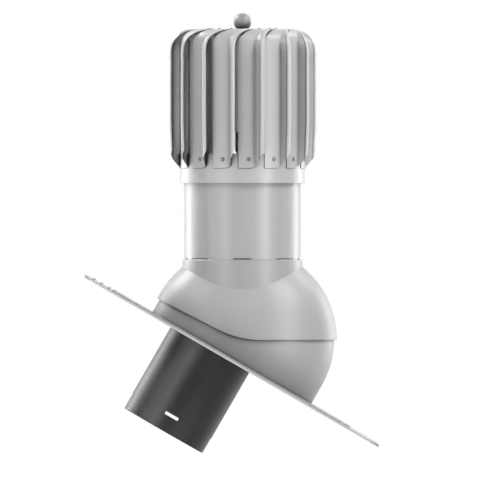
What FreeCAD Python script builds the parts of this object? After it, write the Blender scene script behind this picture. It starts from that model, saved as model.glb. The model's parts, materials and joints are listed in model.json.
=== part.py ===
import FreeCAD, Part
import math
import os
import Sketcher

# Rotating chimney cowl on an adjustable pitched-roof base.
# The origin is where the axis of the duct meets the underside of the roof plate, Z is up along the
# rotor's axis and X runs down the slope. Lengths are millimetres, angles degrees.

SIZES = [
    ("roof_pitch", 30.0, "slope of the roof plate at rest"),
    ("pitch_lowest", 5.0, "flattest roof that the hood can be set for"),
    ("pitch_highest", 33.0, "steepest roof that the hood can be set for"),
    ("plate_uphill", 200.8, "duct axis to the plate's uphill edge, along the slope"),
    ("plate_downhill", 264.9, "duct axis to the plate's downhill edge, along the slope"),
    ("plate_width", 380.0, "plate across the slope"),
    ("plate_corner", 18.0, "corner radius of the plate"),
    ("border_thickness", 2.7, "thickness of the plate's border"),
    ("panel_thickness", 4.7, "thickness of the raised field"),
    ("panel_uphill", 188.0, "ball centre to the raised field's uphill edge"),
    ("panel_downhill", 188.0, "ball centre to the raised field's downhill edge"),
    ("panel_margin", 22.0, "border left at each side of the raised field"),
    ("rib_count", 3.0, "water checks on the uphill border"),
    ("rib_margin", 14.5, "plate edge to the first water check"),
    ("rib_spacing", 12.1, "spacing of the water checks"),
    ("rib_width", 3.0, "width of a water check"),
    ("rib_height", 2.0, "height of a water check over the border"),
    ("tip_radius", 1.7, "radius of the bead along the downhill edge"),
    ("ball_along", 31.6, "duct axis to the ball centre, along the slope"),
    ("ball_above", 33.5, "plate underside to the ball centre"),
    ("dome_radius", 126.0, "outer radius of the lower dome in its upright plane"),
    ("dome_half_width", 93.7, "half width of the lower dome along its tilt axis"),
    ("dome_wall", 2.5, "wall of the lower dome"),
    ("shell_clearance", 1.3, "gap between the dome and the hood"),
    ("hood_wall", 2.5, "wall of the hood"),
    ("opening_clearance", 2.0, "room round the spigot in the dome's opening"),
    ("socket_height", 20.0, "height of the socket that holds the duct"),
    ("socket_wall", 4.0, "wall of the duct's socket"),
    ("duct_fit", 0.1, "gap between the duct and its socket"),
    ("duct_radius", 62.5, "outer radius of the duct stub"),
    ("duct_wall", 2.5, "wall of the duct stub"),
    ("stub_length", 129.0, "duct below the plate"),
    ("stub_rim_height", 2.0, "height of the rim that rests on the socket"),
    ("insert_step", 0.6, "reduction of the duct's insertion end"),
    ("insert_length", 23.0, "length of the insertion end"),
    ("insert_bevel", 1.0, "bevel on the insertion end"),
    ("relief_height", 2.0, "groove turned in the duct just below the plate, along it"),
    ("relief_depth", 0.6, "depth of that groove"),
    ("slot_length", 20.3, "slot through the duct, across"),
    ("slot_height", 5.4, "slot through the duct, along it"),
    ("slot_above_end", 23.1, "insertion end to the middle of the slot"),
    ("edge_slope", 26.8, "rise of the hood's uphill edge"),
    ("edge_corner", 4.5, "ball centre back to where the hood's edge starts to rise"),
    ("edge_blend", 125.0, "radius where the hood's edge turns upwards"),
    ("collar_radius", 82.4, "outer radius of the hood's collar"),
    ("collar_height", 110.2, "ball centre to the top of the collar"),
    ("collar_bevel", 1.0, "bevel at the top of the collar"),
    ("ledge_height", 106.0, "ball centre to the ledge that carries the neck"),
    ("ledge_reach", 5.0, "reach of the ledge under the neck"),
    ("spigot_radius", 60.0, "outer radius of the hood's spigot"),
    ("spigot_wall", 2.5, "wall of the spigot"),
    ("spigot_bottom", 66.0, "ball centre to the lower end of the spigot"),
    ("spigot_top", 136.8, "ball centre to the upper end of the spigot"),
    ("seat_radius", 68.0, "outer radius of the seat round the spigot"),
    ("seat_height", 115.4, "ball centre to the seat of the inner pipe"),
    ("pipe_fit", 0.2, "gap where a pipe fits over or into another piece"),
    ("neck_radius", 80.0, "outer radius of the neck pipe"),
    ("neck_wall", 2.5, "wall of the neck pipe"),
    ("neck_top", 248.8, "ball centre to the top of the neck"),
    ("weep_pairs", 4.0, "pairs of weep slots at the foot of the neck"),
    ("weep_width", 25.0, "width of a weep slot"),
    ("weep_height", 1.5, "height of a weep slot"),
    ("drain_angle", 58.0, "front or back to the first drain hole, round the neck"),
    ("drain_spacing", 15.5, "angle between the drain holes of a pair"),
    ("drain_width", 5.0, "width of a drain hole"),
    ("inner_wall", 2.4, "wall of the inner pipe"),
    ("sleeve_inner_gap", 1.5, "room between the inner pipe and the insulation"),
    ("sleeve_outer_gap", 0.3, "room between the insulation and the neck pipe"),
    ("sleeve_top_gap", 2.0, "insulation to the top of the neck"),
    ("cap_thickness", 2.5, "thickness of the ring that closes the neck"),
    ("cap_lip", 1.6, "depth of the lip on that ring"),
    ("saddle_radius", 76.0, "outer radius of the saddle that holds the hood down"),
    ("saddle_wall", 3.0, "wall of the saddle"),
    ("saddle_clearance", 1.0, "gap between the dome and the saddle"),
    ("saddle_sleeve_rise", 2.0, "spigot end to the saddle's sleeve"),
    ("screw_radius", 2.0, "shank radius of the screws"),
    ("screw_head_radius", 3.8, "head radius of the screws"),
    ("screw_head_height", 2.4, "head height of the screws"),
    ("screw_rise", 7.0, "sleeve or socket edge to the screws"),
    ("saddle_screws", 6.0, "screws through the saddle"),
    ("stub_screws", 3.0, "screws through the duct's socket"),
    ("hole_gap", 0.05, "gap round a screw or rivet in its hole"),
    ("spider_arms", 3.0, "arms of a spider"),
    ("spider_height", 20.0, "height of a spider"),
    ("lower_spider_foot", 147.0, "ball centre to the lower spider"),
    ("upper_spider_foot", 221.0, "ball centre to the upper spider"),
    ("arm_thickness", 3.0, "thickness of a spider's arm"),
    ("arm_height", 11.0, "height of a spider's arm"),
    ("tab_thickness", 2.0, "thickness of the tab at an arm's end"),
    ("tab_angle", 24.0, "angle that a tab covers"),
    ("spider_hub_wall", 5.0, "wall of a spider's hub"),
    ("axle_radius", 6.0, "radius of the axle"),
    ("axle_fit", 0.03, "gap between the axle and what sits on it"),
    ("axle_end", 3.0, "axle below its lower nut"),
    ("axle_proud", 2.0, "axle above its top nut"),
    ("shoulder_radius", 8.8, "radius of the axle's shoulder"),
    ("shoulder_height", 6.0, "height of the axle's shoulder"),
    ("nut_flats", 19.0, "width of the nuts across flats"),
    ("nut_height", 10.0, "height of the nuts"),
    ("washer_radius", 9.0, "radius of the washer on the upper bearing"),
    ("washer_thickness", 1.5, "thickness of that washer"),
    ("bearing_radius", 16.0, "outer radius of the bearings"),
    ("bearing_width", 10.0, "width of the bearings"),
    ("bearing_spacing", 100.0, "foot of the lower bearing to foot of the upper"),
    ("bearing_drop", 22.5, "underside of the top disc to the top of the upper bearing"),
    ("inner_land_radius", 9.4, "land of the inner races"),
    ("outer_land_radius", 12.6, "land of the outer races"),
    ("ball_circle_radius", 11.0, "radius of the circle of balls"),
    ("ball_radius", 2.975, "radius of a ball"),
    ("groove_gap", 0.075, "running gap between balls and grooves"),
    ("ball_count", 7.0, "balls in a bearing"),
    ("cage_inner_radius", 10.0, "inner radius of a cage"),
    ("cage_outer_radius", 12.0, "outer radius of a cage"),
    ("cage_height", 7.0, "height of a cage"),
    ("pocket_gap", 0.06, "gap between a ball and its pocket"),
    ("housing_fit", 0.02, "gap between the bearings and the hub housing"),
    ("housing_wall", 4.0, "wall of the hub housing"),
    ("housing_skirt", 5.8, "hub housing below the lower bearing"),
    ("housing_lip", 3.0, "width of the shoulder over the upper bearing"),
    ("housing_crown", 7.3, "solid top of the hub housing"),
    ("hub_flange_radius", 34.0, "radius of the hub housing's flange"),
    ("hub_flange_thickness", 4.0, "thickness of that flange"),
    ("circlip_thickness", 1.4, "thickness of the circlip"),
    ("circlip_width", 2.4, "width of the circlip"),
    ("circlip_groove_depth", 0.9, "depth of the circlip's groove"),
    ("circlip_gap", 6.0, "opening of the circlip"),
    ("rotor_phase", 5.7, "first blade's rivet, from the front towards the right"),
    ("blade_count", 15.0, "blades on the rotor"),
    ("ring_foot", 214.8, "ball centre to the foot of the rotor ring"),
    ("ring_height", 40.7, "height of the rotor ring"),
    ("ring_radius", 85.7, "outer radius of the rotor ring"),
    ("sheet_thickness", 1.0, "thickness of the rotor's sheet metal"),
    ("sheet_gap", 0.2, "gap between sheets that are riveted together"),
    ("rotor_top", 426.4, "ball centre to the top of the blades"),
    ("disc_radius", 68.0, "radius of the top disc"),
    ("disc_thickness", 2.0, "thickness of the top disc"),
    ("blade_foot", 235.3, "ball centre to the lower edge of the blades"),
    ("face_start", 9.2, "rivet back to the blade's free edge, degrees"),
    ("fold_at", 6.3, "rivet to the blade's fold, degrees"),
    ("lip_at", 9.0, "rivet to the fold of the lip, degrees"),
    ("lip_end", 12.0, "rivet to the end of the lip, degrees"),
    ("flange_reach", 13.1, "reach of the folded flange beyond the face"),
    ("lip_rise", 1.6, "height of the rolled lip over the end of the flange"),
    ("foot_taper", 2.5, "how much less the flange reaches at its foot"),
    ("taper_height", 62.0, "height over which the flange gains its full reach"),
    ("foot_corner_run", 27.9, "sheet from the end of the lip back to where the lower edge starts to rise"),
    ("foot_corner_rise", 25.0, "rise of the blade's lower edge to the end of the lip"),
    ("fold_length", 2.2, "length of sheet taken up by a fold"),
    ("face_sweep", 1.6, "power of the bend's turn with which the face moves sideways"),
    ("lip_sweep", 3.2, "power of the bend's turn with which the lip moves sideways"),
    ("tab_start_radius", 69.4, "radius where the bent blade lies flat on the top"),
    ("tab_end_radius", 41.0, "radius of the tab's inner end"),
    ("tab_half_angle", 11.7, "half of the angle that a tab on the top covers"),
    ("lower_rivet_height", 12.2, "lower edge of the blades to the lower rivets"),
    ("upper_rivet_radius", 46.7, "rotor axis to the upper rivets"),
    ("hub_rivet_radius", 27.0, "rotor axis to the hub's rivets"),
    ("hub_rivets", 6.0, "rivets through the hub's flange"),
    ("hub_rivet_head", 0.8, "head height of the hub's rivets"),
    ("rivet_radius", 1.6, "shank radius of the rivets"),
    ("rivet_head_radius", 2.6, "head radius of the rivets"),
    ("rivet_head_height", 1.4, "head height of the rivets"),
    ("spider_rivet_head", 1.1, "head height of the spiders' rivets"),
    ("finial_radius", 12.3, "radius of the finial ball"),
    ("finial_height", 10.0, "top of the blades to the centre of the finial ball"),
    ("finial_stud_radius", 4.0, "radius of the finial's stud"),
    ("finial_stud_length", 8.3, "stud below the top disc's upper face"),
]

UNTURNED = FreeCAD.Rotation()
AXIS_X = FreeCAD.Vector(1, 0, 0)
AXIS_Y = FreeCAD.Vector(0, 1, 0)
AXIS_Z = FreeCAD.Vector(0, 0, 1)
FULL_TURN = 360.0
QUARTER = 90.0
OVERCUT = 1.0
NUT_SIDES = 6
SCREW_HEAD_SHOULDER = 0.6
RIVET_TAIL_RADIUS = 0.8
RIVET_TAIL_SHOULDER = (0.4, 0.7)
RIVET_DOME = ((0.0, 1.0), (0.45, 0.93), (0.8, 0.68), (1.0, 0.3))

doc = FreeCAD.newDocument("ChimneyCowl")


class Size:
    """A number together with the sheet expression that gives it."""

    def __init__(self, value, text):
        self.value = value
        self.text = text

    def __add__(self, other):
        other = as_size(other)
        return Size(self.value + other.value, f"({self.text} + {other.text})")

    def __radd__(self, other):
        return as_size(other) + self

    def __sub__(self, other):
        other = as_size(other)
        return Size(self.value - other.value, f"({self.text} - {other.text})")

    def __rsub__(self, other):
        return as_size(other) - self

    def __mul__(self, other):
        other = as_size(other)
        return Size(self.value * other.value, f"({self.text} * {other.text})")

    def __rmul__(self, other):
        return as_size(other) * self

    def __truediv__(self, other):
        other = as_size(other)
        return Size(self.value / other.value, f"({self.text} / {other.text})")

    def __neg__(self):
        return Size(-self.value, f"(-1 * {self.text})")


def as_size(value):
    """Gives a plain number the form of a size."""
    if isinstance(value, Size):
        return value
    return Size(float(value), repr(float(value)))


def sine(angle):
    return Size(math.sin(math.radians(angle.value)), f"sin({angle.text})")


def cosine(angle):
    return Size(math.cos(math.radians(angle.value)), f"cos({angle.text})")


def tangent(angle):
    return Size(math.tan(math.radians(angle.value)), f"tan({angle.text})")


class Dimensions:
    """The driving dimensions, each read from its cell of the sheet."""

    def __init__(self, rows):
        self.sheet = doc.addObject("Spreadsheet::Sheet", "Sizes")
        for row, (name, value, meaning) in enumerate(rows, start=1):
            self.sheet.set(f"A{row}", meaning)
            self.sheet.set(f"B{row}", str(value))
            self.sheet.setAlias(f"B{row}", name)
        doc.recompute()
        for name, value, meaning in rows:
            setattr(self, name, Size(float(self.sheet.get(name)), f"Sizes.{name}"))


dim = Dimensions(SIZES)


def drive(item, **sizes):
    """Ties properties of an object to the sheet."""
    for name, size in sizes.items():
        item.setExpression(name, as_size(size).text)


def put(item, x=0.0, y=0.0, z=0.0, turn=UNTURNED):
    """Places an object at driven coordinates."""
    spot = [as_size(x), as_size(y), as_size(z)]
    item.Placement = FreeCAD.Placement(FreeCAD.Vector(*[size.value for size in spot]), turn)
    for axis, size in zip("xyz", spot):
        item.setExpression(f"Placement.Base.{axis}", size.text)
    return item


def cylinder(name, radius, height, x=0.0, y=0.0, z=0.0, turn=UNTURNED, sweep=FULL_TURN):
    item = doc.addObject("Part::Cylinder", name)
    drive(item, Radius=radius, Height=height, Angle=sweep)
    return put(item, x, y, z, turn)


def box(name, length, width, height, x=0.0, y=0.0, z=0.0, turn=UNTURNED):
    item = doc.addObject("Part::Box", name)
    drive(item, Length=length, Width=width, Height=height)
    return put(item, x, y, z, turn)


def spheroid(name, radius, half_width, lowest=-QUARTER, x=0.0, z=0.0):
    """A ball that is flatter along Y, from a given latitude up."""
    item = doc.addObject("Part::Ellipsoid", name)
    item.Angle1 = lowest
    drive(item, Radius1=radius, Radius2=radius, Radius3=half_width)
    return put(item, x, 0.0, z)


def oval_prism(name, radius, half_width, height, x=0.0, z=0.0):
    """An upright prism on an ellipse."""
    outline = doc.addObject("Part::Ellipse", f"{name}_outline")
    drive(outline, MajorRadius=radius, MinorRadius=half_width)
    put(outline, x, 0.0, z)
    item = doc.addObject("Part::Extrusion", name)
    item.Base = outline
    item.DirMode = "Custom"
    item.Dir = AXIS_Z
    item.Solid = True
    drive(item, LengthFwd=height)
    return item


def fuse(name, *parts):
    item = doc.addObject("Part::MultiFuse", name)
    item.Shapes = list(parts)
    item.Refine = True
    return item


def common(name, *parts):
    item = doc.addObject("Part::MultiCommon", name)
    item.Shapes = list(parts)
    return item


def cut(name, base, *tools):
    item = doc.addObject("Part::Cut", name)
    item.Base = base
    if len(tools) == 1:
        item.Tool = tools[0]
    else:
        item.Tool = fuse(f"{name}_tools", *tools)
    return item


def tube(name, outer, inner, height, z=0.0):
    return cut(name, cylinder(f"{name}_outside", outer, height, z=z),
               cylinder(f"{name}_inside", inner, height, z=z))


def copies(count):
    return range(int(round(count.value)))


def step_angle(count):
    return as_size(FULL_TURN) / count


def upright_pins(name, count, circle, radius, height, z):
    """Upright cylinders on a circle, as one tool."""
    pins = []
    for index in copies(count):
        angle = step_angle(count) * index
        pins.append(cylinder(f"{name}_{index}", radius, height,
                             circle * cosine(angle), circle * sine(angle), z))
    return fuse(name, *pins)


def radial_pins(name, count, radius, start, end, z):
    """Cylinders that point away from the axis, as one tool."""
    pins = []
    for index in copies(count):
        angle = step_angle(count) * index
        turn = FreeCAD.Rotation(AXIS_Z, angle.value).multiply(FreeCAD.Rotation(AXIS_Y, QUARTER))
        pins.append(cylinder(f"{name}_{index}", radius, end - start, start * cosine(angle),
                             start * sine(angle), z, turn))
    return fuse(name, *pins)


def origin_part(body, role):
    """A plane or an axis of a body's own origin."""
    return next(item for item in body.Origin.OriginFeatures if item.Role == role)


def new_sketch(body, name, plane, offset=FreeCAD.Vector()):
    sketch = body.newObject("Sketcher::SketchObject", name)
    sketch.AttachmentSupport = [(origin_part(body, plane), "")]
    sketch.MapMode = "FlatFace"
    sketch.AttachmentOffset = FreeCAD.Placement(offset, UNTURNED)
    return sketch


def pin_corner(sketch, line, axis, size):
    """Holds one coordinate of a line's first point at a size."""
    size = as_size(size)
    kind = "DistanceX" if axis == 0 else "DistanceY"
    if size.value == 0.0 and "Sizes" not in size.text:
        on_axis = -2 if axis == 0 else -1
        sketch.addConstraint(Sketcher.Constraint("PointOnObject", line, 1, on_axis))
        return
    number = sketch.addConstraint(Sketcher.Constraint(kind, -1, 1, line, 1, size.value))
    sketch.setExpression(f"Constraints[{number}]", size.text)


def outline(sketch, corners):
    """Draws a closed polygon whose corners sit at driven coordinates."""
    spots = [FreeCAD.Vector(as_size(x).value, as_size(y).value, 0) for x, y in corners]
    count = len(spots)
    for index in range(count):
        sketch.addGeometry(Part.LineSegment(spots[index], spots[(index + 1) % count]), False)
    for index in range(count):
        sketch.addConstraint(Sketcher.Constraint("Coincident", index, 2, (index + 1) % count, 1))
    for index, (x, y) in enumerate(corners):
        pin_corner(sketch, index, 0, x)
        pin_corner(sketch, index, 1, y)
    return sketch


def turned(name, corners):
    """A body turned round Z from corners given as radius and height."""
    body = doc.addObject("PartDesign::Body", name)
    sketch = outline(new_sketch(body, f"{name}_profile", "XZ_Plane"), corners)
    feature = body.newObject("PartDesign::Revolution", f"{name}_turned")
    feature.Profile = sketch
    feature.ReferenceAxis = (sketch, ["V_Axis"])
    feature.Angle = FULL_TURN
    return body


def padded(name, plane, corners, height, both_ways=False):
    """A body padded from a polygon."""
    body = doc.addObject("PartDesign::Body", name)
    sketch = outline(new_sketch(body, f"{name}_profile", plane), corners)
    feature = body.newObject("PartDesign::Pad", f"{name}_pad")
    feature.Profile = sketch
    if both_ways:
        feature.SideType = "Symmetric"
    drive(feature, Length=height)
    return body


def rounded(body, name, radius, chosen):
    """Rounds the edges of a body's last feature that pass a test."""
    doc.recompute()
    base = body.Tip
    names = [f"Edge{number}" for number, edge in enumerate(base.Shape.Edges, start=1) if chosen(edge)]
    feature = body.newObject("PartDesign::Fillet", name)
    feature.Base = (base, names)
    drive(feature, Radius=radius)
    return body


def slotted(body, name, length, height, middle, pairs):
    """Cuts pairs of slots straight through a turned body."""
    half = length / 2
    rise = height / 2
    corners = [(-half, middle - rise), (half, middle - rise), (half, middle + rise), (-half, middle + rise)]
    sketch = outline(new_sketch(body, f"{name}_profile", "XZ_Plane"), corners)
    feature = body.newObject("PartDesign::Pocket", name)
    feature.Profile = sketch
    feature.Type = "ThroughAll"
    feature.SideType = "Symmetric"
    if pairs.value > 1:
        pattern = body.newObject("PartDesign::PolarPattern", f"{name}_pattern")
        pattern.Originals = [feature]
        pattern.Axis = (origin_part(body, "Z_Axis"), [""])
        pattern.Angle = FULL_TURN / 2 * (pairs.value - 1) / pairs.value
        drive(pattern, Occurrences=pairs)
        body.Tip = pattern
    return body


def fasteners(name, count, corners, circle=None, height=None):
    """A ring of equal pins turned from corners given along and across the pin.

    Pins stand on a circle where circle is given, and point outwards at a height where height is.
    """
    body = doc.addObject("PartDesign::Body", name)
    body.AllowCompound = True
    if circle is not None:
        sketch = new_sketch(body, f"{name}_profile", "XZ_Plane", FreeCAD.Vector(circle.value, 0, 0))
        sketch.setExpression("AttachmentOffset.Base.x", circle.text)
        outline(sketch, [(across, along) for along, across in corners])
        own_axis = "V_Axis"
    else:
        sketch = new_sketch(body, f"{name}_profile", "XZ_Plane", FreeCAD.Vector(0, height.value, 0))
        sketch.setExpression("AttachmentOffset.Base.y", height.text)
        outline(sketch, corners)
        own_axis = "H_Axis"
    feature = body.newObject("PartDesign::Revolution", f"{name}_turned")
    feature.Profile = sketch
    feature.ReferenceAxis = (sketch, [own_axis])
    feature.Angle = FULL_TURN
    pattern = body.newObject("PartDesign::PolarPattern", f"{name}_pattern")
    pattern.Originals = [feature]
    pattern.Axis = (origin_part(body, "Z_Axis"), [""])
    pattern.Angle = FULL_TURN
    drive(pattern, Occurrences=count)
    body.Tip = pattern
    return body


def rivet_profile(start, end, head_radius, head_height):
    """Half outline of a rivet whose domed head stands beyond its end."""
    tail = head_radius * RIVET_TAIL_RADIUS
    rise, share = RIVET_TAIL_SHOULDER
    dome = [(end + head_height * height, head_radius * width) for height, width in RIVET_DOME]
    return [(start - head_height, 0.0), (start - head_height, tail * share),
            (start - head_height * rise, tail), (start, tail), (start, dim.rivet_radius),
            (end, dim.rivet_radius), *dome, (end + head_height, 0.0)]


def screw_profile(start, end):
    """Half outline of a pan-head screw whose head stands beyond its end."""
    return [(start, 0.0), (start, dim.screw_radius), (end, dim.screw_radius), (end, dim.screw_head_radius),
            (end + dim.screw_head_height * SCREW_HEAD_SHOULDER, dim.screw_head_radius),
            (end + dim.screw_head_height, dim.screw_head_radius * SCREW_HEAD_SHOULDER),
            (end + dim.screw_head_height, 0.0)]


# Shared places: the ball centre, which the tilt axis and the rotor axis both pass through.

neck_x = dim.ball_along * cosine(dim.roof_pitch) + dim.ball_above * sine(dim.roof_pitch)
neck_z = dim.ball_above * cosine(dim.roof_pitch) - dim.ball_along * sine(dim.roof_pitch)
nodes = {}


def keep(name, item):
    item.Label = name
    nodes[name] = item
    return item


def keep_on_plate(name, item):
    """Lays a piece drawn on a level plate onto the roof slope."""
    item.Placement = FreeCAD.Placement(FreeCAD.Vector(), FreeCAD.Rotation(AXIS_Y, dim.roof_pitch.value))
    item.setExpression("Placement.Rotation.Angle", dim.roof_pitch.text)
    return keep(name, item)


def keep_on_neck(name, item):
    """Stands a piece drawn round the ball centre in its place."""
    return keep(name, put(item, neck_x, 0.0, neck_z))


def keep_on_rotor(name, item, extra_turn=0.0):
    """Stands a piece in the rotor, whose own X axis passes through the first blade's rivet."""
    angle = dim.rotor_phase - QUARTER + extra_turn
    put(item, neck_x, 0.0, neck_z, FreeCAD.Rotation(AXIS_Z, angle.value))
    return keep(name, item)


# Roof base: plate, raised field, water checks, downhill bead and lower dome in one moulding.

def plate(name, back, front, half_width, thickness, corner):
    body = padded(name, "XY_Plane", [(-back, -half_width), (front, -half_width), (front, half_width),
                                     (-back, half_width)], thickness)

    def is_corner(edge):
        return abs(edge.BoundBox.ZLength - thickness.value) < 1e-6 and edge.BoundBox.XLength < 1e-6

    return rounded(body, f"{name}_corners", corner, is_corner)


half_plate = dim.plate_width / 2
half_panel = half_plate - dim.panel_margin
border = plate("border", dim.plate_uphill, dim.plate_downhill, half_plate, dim.border_thickness,
               dim.plate_corner)
panel = plate("panel", dim.panel_uphill - dim.ball_along, dim.panel_downhill + dim.ball_along, half_panel,
              dim.panel_thickness, dim.plate_corner)
ribs = [box(f"rib_{index}", dim.rib_width, half_panel * 2, dim.border_thickness + dim.rib_height,
            dim.rib_margin - dim.plate_uphill + dim.rib_spacing * index - dim.rib_width / 2, -half_panel)
        for index in copies(dim.rib_count)]
bead_half = half_plate - dim.plate_corner
bead = cylinder("bead", dim.tip_radius, bead_half * 2, dim.plate_downhill - dim.tip_radius, bead_half,
                dim.tip_radius, FreeCAD.Rotation(AXIS_X, QUARTER))
dome_inner_radius = dim.dome_radius - dim.dome_wall
dome_inner_half = dim.dome_half_width - dim.dome_wall
crown = spheroid("crown", dim.dome_radius, dim.dome_half_width, 0.0, dim.ball_along, dim.ball_above)
skirt = oval_prism("skirt", dim.dome_radius, dim.dome_half_width, dim.ball_above, dim.ball_along)
crown_room = spheroid("crown_room", dome_inner_radius, dome_inner_half, 0.0, dim.ball_along, dim.ball_above)
skirt_room = oval_prism("skirt_room", dome_inner_radius, dome_inner_half,
                        dim.ball_above - dim.panel_thickness, dim.ball_along, dim.panel_thickness)
moulding = fuse("moulding", border, panel, *ribs, bead, crown, skirt)
hollow = cut("hollow_moulding", moulding, crown_room, skirt_room)
duct_hole_radius = dim.duct_radius + dim.duct_fit
socket_radius = duct_hole_radius + dim.socket_wall
socketed = fuse("socketed_moulding", hollow, cylinder("socket", socket_radius, dim.socket_height))

opening_radius = dim.spigot_radius + dim.opening_clearance
opening_reach = dim.dome_radius + dim.dome_half_width
opening_tools = []
for name, pitch in (("low", dim.pitch_lowest), ("high", dim.pitch_highest)):
    opening_tools.append(cylinder(f"opening_{name}", opening_radius, opening_reach, dim.ball_along, 0.0,
                                  dim.ball_above, FreeCAD.Rotation(AXIS_Y, -pitch.value)))
on_side = FreeCAD.Rotation(AXIS_X, -QUARTER)
to_steepest = FreeCAD.Rotation(AXIS_Y, -QUARTER - dim.pitch_highest.value)
opening_tools.append(cylinder("opening_sweep", opening_reach, opening_radius * 2, dim.ball_along,
                              -opening_radius, dim.ball_above, to_steepest.multiply(on_side),
                              dim.pitch_highest - dim.pitch_lowest))
stub_screw_height = dim.socket_height - dim.screw_rise
stub_screw_start = dim.duct_radius - dim.duct_wall
stub_screw_holes = radial_pins("socket_screw_holes", dim.stub_screws, dim.screw_radius + dim.hole_gap,
                               stub_screw_start, socket_radius + OVERCUT, stub_screw_height)
roof_base = cut("roof_base", socketed, *opening_tools,
                cylinder("duct_hole", duct_hole_radius, dim.socket_height), stub_screw_holes)
keep_on_plate("roof_base", roof_base)

# Duct stub: hangs by its rim in the socket, with a reduced insertion end and a slot through it.

rim_top = dim.socket_height + dim.stub_rim_height
insert_radius = dim.duct_radius - dim.insert_step
relief_radius = dim.duct_radius - dim.relief_depth
stub_bore = dim.duct_radius - dim.duct_wall
stub = turned("stub_tube", [
    (stub_bore, -dim.stub_length),
    (insert_radius - dim.insert_bevel, -dim.stub_length),
    (insert_radius, dim.insert_bevel - dim.stub_length),
    (insert_radius, dim.insert_length - dim.stub_length),
    (dim.duct_radius, dim.insert_length - dim.stub_length),
    (dim.duct_radius, -dim.relief_height),
    (relief_radius, -dim.relief_height),
    (relief_radius, 0.0),
    (dim.duct_radius, 0.0),
    (dim.duct_radius, dim.socket_height),
    (socket_radius, dim.socket_height),
    (socket_radius, rim_top),
    (stub_bore, rim_top)])
slotted(stub, "stub_slot", dim.slot_length, dim.slot_height, dim.slot_above_end - dim.stub_length,
        as_size(1))
stub_holes = radial_pins("stub_screw_holes", dim.stub_screws, dim.screw_radius + dim.hole_gap,
                         stub_screw_start - OVERCUT, socket_radius, stub_screw_height)
keep_on_plate("duct_stub", cut("duct_stub", stub, stub_holes))
stub_screw = screw_profile(stub_screw_start, socket_radius)
keep_on_plate("stub_screws", fasteners("stub_screws", dim.stub_screws, stub_screw, height=stub_screw_height))

# Hood: upper shell, collar with the ledge for the neck, and the spigot through the dome's opening.

hood_inner_radius = dim.dome_radius + dim.shell_clearance
hood_inner_half = dim.dome_half_width + dim.shell_clearance
hood_radius = hood_inner_radius + dim.hood_wall
hood_half = hood_inner_half + dim.hood_wall
hood_room = spheroid("hood_room", hood_inner_radius, hood_inner_half)
collar_bore = dim.neck_radius + dim.pipe_fit
ledge_bore = collar_bore - dim.ledge_reach
collar = turned("collar", [
    (ledge_bore, 0.0),
    (dim.collar_radius, 0.0),
    (dim.collar_radius, dim.collar_height - dim.collar_bevel),
    (dim.collar_radius - dim.collar_bevel, dim.collar_height),
    (collar_bore, dim.collar_height),
    (collar_bore, dim.ledge_height),
    (ledge_bore, dim.ledge_height)])
shell = cut("hood_shell", fuse("hood_mass", spheroid("hood_outside", hood_radius, hood_half), collar,
                               cylinder("inner_seat", dim.seat_radius, dim.seat_height)), hood_room)
edge_reach = hood_radius + dim.hood_wall + OVERCUT
edge_rise = (edge_reach - dim.edge_corner) * tangent(dim.edge_slope)
edge_tool = padded("hood_edge", "XZ_Plane", [
    (-edge_reach, -edge_reach),
    (edge_reach, -edge_reach),
    (edge_reach, 0.0),
    (-dim.edge_corner, 0.0),
    (-edge_reach, edge_rise)], (hood_half + OVERCUT) * 2, both_ways=True)


def is_edge_corner(edge):
    middle = edge.BoundBox.Center
    return abs(middle.x + dim.edge_corner.value) < 1e-3 and abs(middle.z) < 1e-3


rounded(edge_tool, "hood_edge_blend", dim.edge_blend, is_edge_corner)
trimmed = cut("hood_trimmed", shell, edge_tool)
spigot = cylinder("spigot", dim.spigot_radius, dim.spigot_top - dim.spigot_bottom, z=dim.spigot_bottom)
saddle_screw_height = dim.spigot_bottom + dim.saddle_sleeve_rise + dim.screw_rise
spigot_bore = dim.spigot_radius - dim.spigot_wall
sleeve_radius = dim.spigot_radius + dim.pipe_fit + dim.saddle_wall
saddle_screw_holes = radial_pins("spigot_screw_holes", dim.saddle_screws, dim.screw_radius + dim.hole_gap,
                                 spigot_bore - OVERCUT, sleeve_radius + OVERCUT, saddle_screw_height)
hood = cut("hood", fuse("hood_with_spigot", trimmed, spigot),
           cylinder("spigot_bore", spigot_bore, dim.spigot_top), saddle_screw_holes)
keep_on_neck("hood", hood)

# Retaining saddle: a curved ring inside the dome, screwed to the spigot, so that the hood stays down.

saddle_outer = dome_inner_radius - dim.saddle_clearance
saddle_outer_half = dome_inner_half - dim.saddle_clearance
saddle_mass = common("saddle_mass", spheroid("saddle_outside", saddle_outer, saddle_outer_half),
                     cylinder("saddle_trim", dim.saddle_radius, saddle_outer))
saddle_ring = cut("saddle_ring", saddle_mass, spheroid("saddle_room", saddle_outer - dim.saddle_wall,
                                                       saddle_outer_half - dim.saddle_wall))
sleeve_foot = dim.spigot_bottom + dim.saddle_sleeve_rise
saddle_sleeve = common("saddle_sleeve", spheroid("sleeve_limit", saddle_outer, saddle_outer_half),
                       cylinder("sleeve_mass", sleeve_radius, saddle_outer, z=sleeve_foot))
saddle = cut("retaining_saddle", fuse("saddle_whole", saddle_ring, saddle_sleeve),
             cylinder("saddle_bore", dim.spigot_radius + dim.pipe_fit, saddle_outer),
             radial_pins("saddle_screw_holes", dim.saddle_screws, dim.screw_radius + dim.hole_gap,
                         dim.spigot_radius, sleeve_radius + OVERCUT, saddle_screw_height))
keep_on_neck("retaining_saddle", saddle)
saddle_screw = screw_profile(spigot_bore, sleeve_radius)
keep_on_neck("saddle_screws", fasteners("saddle_screws", dim.saddle_screws, saddle_screw,
                                        height=saddle_screw_height))

# Double-walled neck: outer pipe on the ledge, inner pipe over the spigot, insulation and closing ring.

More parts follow.
